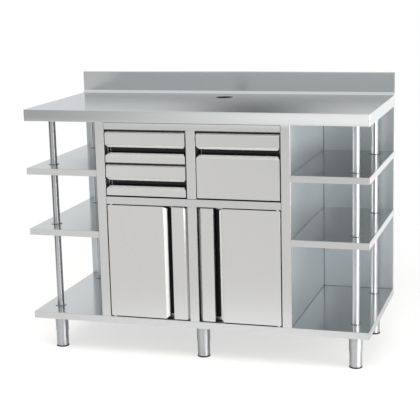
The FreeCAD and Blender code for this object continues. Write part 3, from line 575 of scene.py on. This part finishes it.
def screws(name, body, spots, sizes, material):
    """Put screw heads on one body as a plain mesh; a spot is a head's foot and where it faces."""
    tree = bpy.data.node_groups.get("pan_head_screws") or screw_tree()
    mesh = bpy.data.meshes.new(f"{name}_points")
    mesh.from_pydata([place for place, _ in spots], [], [])
    facing = mesh.attributes.new("facing", "FLOAT_VECTOR", "POINT")
    for item, (_, way) in zip(facing.data, spots):
        item.vector = way
    points = bpy.data.objects.new(f"{name}_points", mesh)
    bpy.context.scene.collection.objects.link(points)
    modifier = points.modifiers.new("screws", "NODES")
    modifier.node_group = tree
    values = {"Head Diameter": sizes.screw_head, "Head Height": sizes.screw_height,
              "Material": material}
    for socket in tree.interface.items_tree:
        if socket.in_out == "INPUT" and socket.name in values:
            modifier[socket.identifier] = values[socket.name]
    graph = bpy.context.evaluated_depsgraph_get()
    heads = bpy.data.meshes.new_from_object(points.evaluated_get(graph), depsgraph=graph)
    bpy.data.objects.remove(points)
    bpy.data.meshes.remove(mesh)
    if len(heads.polygons) < HEAD_SIDES * len(spots):
        raise RuntimeError(f"{name}: the node tree made no screw heads")
    piece = bpy.data.objects.new(name, heads)
    bpy.context.scene.collection.objects.link(piece)
    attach(piece, body)


def screw_finish(context):
    """Zinc on the screws: the heads are too small for a grain line, so theirs is fine and short."""
    return (bpy.data.materials.get("screw_zinc")
            or satin_steel("screw_zinc", context.scene.station_finish.zinc, "X", roughness=0.3,
                           anisotropy=0.2, grain=0.5 * MM, wipe=30 * MM, contrast=1.0))


class STATION_OT_runner_screws(bpy.types.Operator):
    """Screws that hold the runners' inner members, seen inside each drawer box"""
    bl_idname = "station.runner_screws"
    bl_label = "Runner screws"

    def execute(self, context):
        """Set a row of screws in both sides of each drawer box, level with its runner."""
        sizes = context.scene.station_sizes
        for node in nodes_named("drawer_box_"):
            drawer = node.removeprefix("drawer_box_")
            low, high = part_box(node)
            front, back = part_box(f"runner_drawer_members_{drawer}")
            level = (front[2] + back[2]) / 2
            gaps = sizes.runner_screw_count - 1
            spots = []
            for i in range(sizes.runner_screw_count):
                share = ROW_START + (ROW_END - ROW_START) * i / gaps
                y = front[1] + (back[1] - front[1]) * share
                spots.append(((low[0] + sizes.box_sheet, y, level), (1, 0, 0)))
                spots.append(((high[0] - sizes.box_sheet, y, level), (-1, 0, 0)))
            screws(f"runner_screws_{drawer}", f"drawer_{drawer}", spots, sizes,
                   screw_finish(context))
        return {"FINISHED"}


class STATION_OT_foot_screws(bpy.types.Operator):
    """Screws that hold the foot plates under the base"""
    bl_idname = "station.foot_screws"
    bl_label = "Foot screws"

    def execute(self, context):
        """Set a ring of screws in the rim of each foot plate, facing down."""
        sizes = context.scene.station_sizes
        low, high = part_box("foot_sleeves")
        level = high[2] - sizes.foot_plate
        front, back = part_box("foot_insert_front_left")
        radius = (front[0] + back[0]) / 2 - low[0] - sizes.foot_plate_rim / 2
        count = sizes.foot_screw_count
        spots = []
        for node in nodes_named("foot_insert_"):
            front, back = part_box(node)
            for i in range(count):
                angle = 2 * math.pi * (i + 0.5) / count
                spots.append((((front[0] + back[0]) / 2 + radius * math.cos(angle),
                               (front[1] + back[1]) / 2 + radius * math.sin(angle), level),
                              (0, 0, -1)))
        screws("foot_screws", "station", spots, sizes, screw_finish(context))
        return {"FINISHED"}


# ---------------------------------------------------------------------------
# Stage
# ---------------------------------------------------------------------------

# Camera: place, turn as a rotation vector, focal length and frame in pixels, sensor in mm
CAMERA_AT = (1498.9955 * MM, -4982.5932 * MM, 1695.9959 * MM)
CAMERA_TURN = (0.2081, 0.2936, 0.0064)
FOCAL_PIXELS = 1184.54
FRAME_PIXELS = 420
SENSOR = 36.0
# Brightness of the studio's walls as the steel mirrors them; the camera sees plain white
ROOM_FRONT = 0.5
ROOM_LEFT = 0.6
ROOM_RIGHT = 1.15
ROOM_BACK = 0.85
ROOM_BACK_LEFT = 0.9
ROOM_TOP = 1.0
# Where one wall passes into the next, from and to, as the X, Y or Z of a direction
LEFT_WALL = (-0.5, -0.85)
RIGHT_WALL = (0.45, 0.75)
CEILING = (0.1, 0.5)
BACK_WALL = (-0.2, 0.3)
BACK_LEFT = (-0.34, -0.42)
# How bright the floor is in the steel: ahead of the unit, left of that, behind the unit at the
# right, and far ahead, where its left end and the foot of the front wall are as dim as that wall
FLOOR_AHEAD = 0.86
FLOOR_LEFT = 1.0
FLOOR_RIGHT = 1.25
FLOOR_DISTANT = 1.0
# Where one part of the floor passes into the next, from and to, in metres along X
LEFT_PART = (-2.6, -0.4)
RIGHT_PART = (0.8, 1.3)
DISTANT_LEFT = (-5.2, -3.2)
# The same along Y
REAR_PART = (0.2, 1.4)
DISTANT_PART = (-8.4, -7.4)
WALL_FOOT = (-11.5, -9.5)
# How far from the unit's middle the floor turns plain white, and in the steel from grey to lit
WHITE_REACH = (1.0, 2.6)
LIT_REACH = (0.7, 1.5)
# Share of the floor under the unit that shows white whatever falls on it
FLOOR_GLOW = 0.6
# Cards, each of which darkens or lightens one band of the steel: width, height, greys at the left
# and right end, place, and turn about Z
CARDS = {
    "back_flag_left": (0.7, 3.0, (0.8, 0.08), (-0.85, 2.5, 2.3), 0.0),
    "back_flag_right": (0.7, 3.0, (0.08, 0.8), (-0.15, 2.5, 2.3), 0.0),
    "camera_flag": (1.5, 2.4, (0.12, 0.12), (1.5, -5.3, 1.2), 0.0),
    "left_flag": (0.67, 0.85, (0.06, 0.06), (-0.42, -0.01, 0.62), math.pi / 2),
    "left_card": (2.2, 1.2, (0.1, 0.1), (-1.9, -0.8, 0.6), math.pi / 2),
    "edge_card": (1.7, 0.06, (0.5, 1.32), (-0.02, -0.42, 1.065), 0.0),
}


def camera_matrix():
    """The camera's place and turn, from a rotation vector about a camera that looks along +Y."""
    turn = Vector(CAMERA_TURN)
    spin = Matrix.Rotation(turn.length, 3, turn.normalized())
    level = Matrix(((1, 0, 0), (0, 0, -1), (0, 1, 0)))
    right, down, forward = spin @ level
    axes = Matrix((right, -down, -forward)).transposed()
    return Matrix.Translation(CAMERA_AT) @ axes.to_4x4()


def plane(name, width, depth, matrix):
    """A flat stage piece."""
    mesh = bpy.data.meshes.new(name)
    half_w, half_d = width / 2, depth / 2
    corners = [(-half_w, -half_d, 0), (half_w, -half_d, 0), (half_w, half_d, 0),
               (-half_w, half_d, 0)]
    mesh.from_pydata([matrix @ Vector(c) for c in corners], [], [(0, 1, 2, 3)])
    piece = bpy.data.objects.new(name, mesh)
    bpy.context.scene.collection.objects.link(piece)
    return piece


def blend_grey(tree, value, span, before, after):
    """Blend two greys (a socket or a number) where a value passes over a span."""
    return mix(tree, remap(tree, value, *span, curve="SMOOTHSTEP"), before, after, "FLOAT")


def emission(tree, strength):
    """A plain glow."""
    return add_node(tree, "ShaderNodeEmission", {"Color": WHITE, "Strength": strength}).outputs[0]


def matt(tree, colour):
    """A matt surface in an sRGB colour."""
    return add_node(tree, "ShaderNodeBsdfDiffuse", {"Color": linear(colour) + (1,)}).outputs[0]


def mix_shaders(tree, share, before, after):
    """Two shaders mixed by a share."""
    return add_node(tree, "ShaderNodeMixShader", {"Fac": share, 1: before, 2: after}).outputs[0]


def floor_material():
    """Studio floor: white where it is seen, with the unit's soft shadow near the middle.

    In the steel it is grey close to the unit, bright around it, and dim by the far front wall.
    """
    material, tree = empty_material("studio_floor")
    place = object_place(tree)
    reach = add_node(tree, "ShaderNodeVectorMath", {0: place}, operation="LENGTH").outputs["Value"]
    parts = add_node(tree, "ShaderNodeSeparateXYZ", {"Vector": place}).outputs
    path = add_node(tree, "ShaderNodeLightPath").outputs
    white = remap(tree, reach, *WHITE_REACH, FLOOR_GLOW, 1.0, "SMOOTHSTEP")
    seen = maths(tree, "MULTIPLY", path["Is Camera Ray"], white)
    shown = mix_shaders(tree, seen, matt(tree, "#f7f4f0"), emission(tree, 1.0))
    far_ahead = blend_grey(tree, parts["X"], DISTANT_LEFT, ROOM_FRONT, FLOOR_DISTANT)
    distant = blend_grey(tree, parts["Y"], WALL_FOOT, ROOM_FRONT, far_ahead)
    nearby = blend_grey(tree, parts["X"], LEFT_PART, FLOOR_LEFT, FLOOR_AHEAD)
    right = blend_grey(tree, parts["X"], RIGHT_PART, nearby, FLOOR_RIGHT)
    rear = blend_grey(tree, parts["Y"], REAR_PART, nearby, right)
    lit = emission(tree, blend_grey(tree, parts["Y"], DISTANT_PART, distant, rear))
    outer = remap(tree, reach, *LIT_REACH, curve="SMOOTHSTEP")
    gloss = mix_shaders(tree, outer, matt(tree, "#dcdcdc"), lit)
    mirrored = maths(tree, "MAXIMUM", path["Is Glossy Ray"], path["Is Transmission Ray"])
    add_node(tree, "ShaderNodeOutputMaterial",
             {"Surface": mix_shaders(tree, mirrored, shown, gloss)})
    return material


def studio_world():
    """White where it is seen; for light and gloss, a room with a dim front and pale walls."""
    world = bpy.data.worlds.new("studio")
    world.use_nodes = True
    tree = world.node_tree
    tree.nodes.clear()
    heading = add_node(tree, "ShaderNodeTexCoord").outputs["Generated"]
    parts = add_node(tree, "ShaderNodeSeparateXYZ", {"Vector": heading}).outputs
    left = blend_grey(tree, parts["X"], LEFT_WALL, ROOM_FRONT, ROOM_LEFT)
    sides = blend_grey(tree, parts["X"], RIGHT_WALL, left, ROOM_RIGHT)
    raised = blend_grey(tree, parts["Z"], CEILING, sides, ROOM_TOP)
    back = blend_grey(tree, parts["X"], BACK_LEFT, ROOM_BACK, ROOM_BACK_LEFT)
    around = blend_grey(tree, parts["Y"], BACK_WALL, raised, back)
    seen = add_node(tree, "ShaderNodeLightPath").outputs["Is Camera Ray"]
    sky = add_node(tree, "ShaderNodeBackground",
                   {"Color": mix(tree, seen, linear("#fafdff") + (1,), WHITE),
                    "Strength": mix(tree, seen, around, 1.0, "FLOAT")})
    add_node(tree, "ShaderNodeOutputWorld", {"Surface": sky.outputs[0]})
    bpy.context.scene.world = world


def softbox(name, width, height, watts, place, target):
    """A soft area lamp that looks at a point."""
    light = bpy.data.lights.new(name, "AREA")
    light.shape = "RECTANGLE"
    light.size = width
    light.size_y = height
    light.energy = watts
    lamp = bpy.data.objects.new(name, light)
    aim = (Vector(target) - Vector(place)).to_track_quat("-Z", "Y").to_matrix().to_4x4()
    lamp.matrix_world = Matrix.Translation(place) @ aim
    bpy.context.scene.collection.objects.link(lamp)
    return lamp


def flag(name, width, height, greys, place, turn):
    """An upright card, turned about Z, that only shows as a reflection in the steel.

    greys are its brightness at the left and at the right end.
    """
    upright = Matrix.Rotation(turn, 4, "Z") @ Matrix.Rotation(math.pi / 2, 4, "X")
    card = plane(name, width, height, Matrix.Translation(place) @ upright)
    material, tree = empty_material(name)
    across = add_node(tree, "ShaderNodeSeparateXYZ", {"Vector": object_place(tree)}).outputs["X"]
    grey = blend_grey(tree, across, (place[0] - width / 2, place[0] + width / 2), *greys)
    add_node(tree, "ShaderNodeOutputMaterial", {"Surface": emission(tree, grey)})
    card.data.materials.append(material)
    for ray in ("camera", "diffuse", "transmission", "volume_scatter", "shadow"):
        setattr(card, f"visible_{ray}", False)


class STATION_OT_stage(bpy.types.Operator):
    """White floor, soft studio lamps, cards for the reflections and the camera"""
    bl_idname = "station.stage"
    bl_label = "Stage"

    def execute(self, context):
        """Build the floor, world, lamps, cards and camera."""
        floor = plane("floor", 60, 60, Matrix.Identity(4))
        floor.data.materials.append(floor_material())
        studio_world()
        overhead = softbox("front_softbox", 4.0, 1.6, 130, (-0.4, -2.6, 3.4), (0, 0, 0.7))
        overhead.visible_glossy = False
        softbox("right_softbox", 2.2, 1.4, 40, (2.4, -1.0, 0.85), (0, -0.3, 0.5))
        for name, card in CARDS.items():
            flag(name, *card)
        lens = bpy.data.cameras.new("camera")
        lens.sensor_width = SENSOR
        lens.lens = FOCAL_PIXELS / FRAME_PIXELS * SENSOR
        lens.clip_end = 100
        camera = bpy.data.objects.new("camera", lens)
        camera.matrix_world = camera_matrix()
        context.scene.collection.objects.link(camera)
        context.scene.camera = camera
        context.scene.view_settings.view_transform = "Standard"
        return {"FINISHED"}


# ---------------------------------------------------------------------------
# Add-on
# ---------------------------------------------------------------------------

OPERATORS = (
    STATION_OT_sheet,
    STATION_OT_fronts,
    STATION_OT_tubes,
    STATION_OT_zinc,
    STATION_OT_black_parts,
    STATION_OT_runner_screws,
    STATION_OT_foot_screws,
    STATION_OT_stage,
)


class STATION_PT_panel(bpy.types.Panel):
    """Sidebar panel that lists the finishes and the operators"""
    bl_idname = "STATION_PT_panel"
    bl_label = "Service station"
    bl_space_type = "VIEW_3D"
    bl_region_type = "UI"
    bl_category = "Station"

    def draw(self, context):
        """List every setting and every operator."""
        for group in (context.scene.station_finish, context.scene.station_sizes):
            for name in group.bl_rna.properties.keys():
                if name not in ("rna_type", "name"):
                    self.layout.prop(group, name)
        for operator in OPERATORS:
            self.layout.operator(operator.bl_idname)


CLASSES = (STATION_PG_finish, STATION_PG_sizes, *OPERATORS, STATION_PT_panel)


def register():
    """Register the classes and their settings."""
    for cls in CLASSES:
        bpy.utils.register_class(cls)
    bpy.types.Scene.station_finish = PointerProperty(type=STATION_PG_finish)
    bpy.types.Scene.station_sizes = PointerProperty(type=STATION_PG_sizes)


def unregister():
    """Remove what register added."""
    del bpy.types.Scene.station_sizes
    del bpy.types.Scene.station_finish
    for cls in reversed(CLASSES):
        bpy.utils.unregister_class(cls)


def main():
    """Make every piece and the stage."""
    register()
    for operator in OPERATORS:
        group, name = operator.bl_idname.split(".")
        getattr(getattr(bpy.ops, group), name)()


if __name__ == "__main__":
    main()
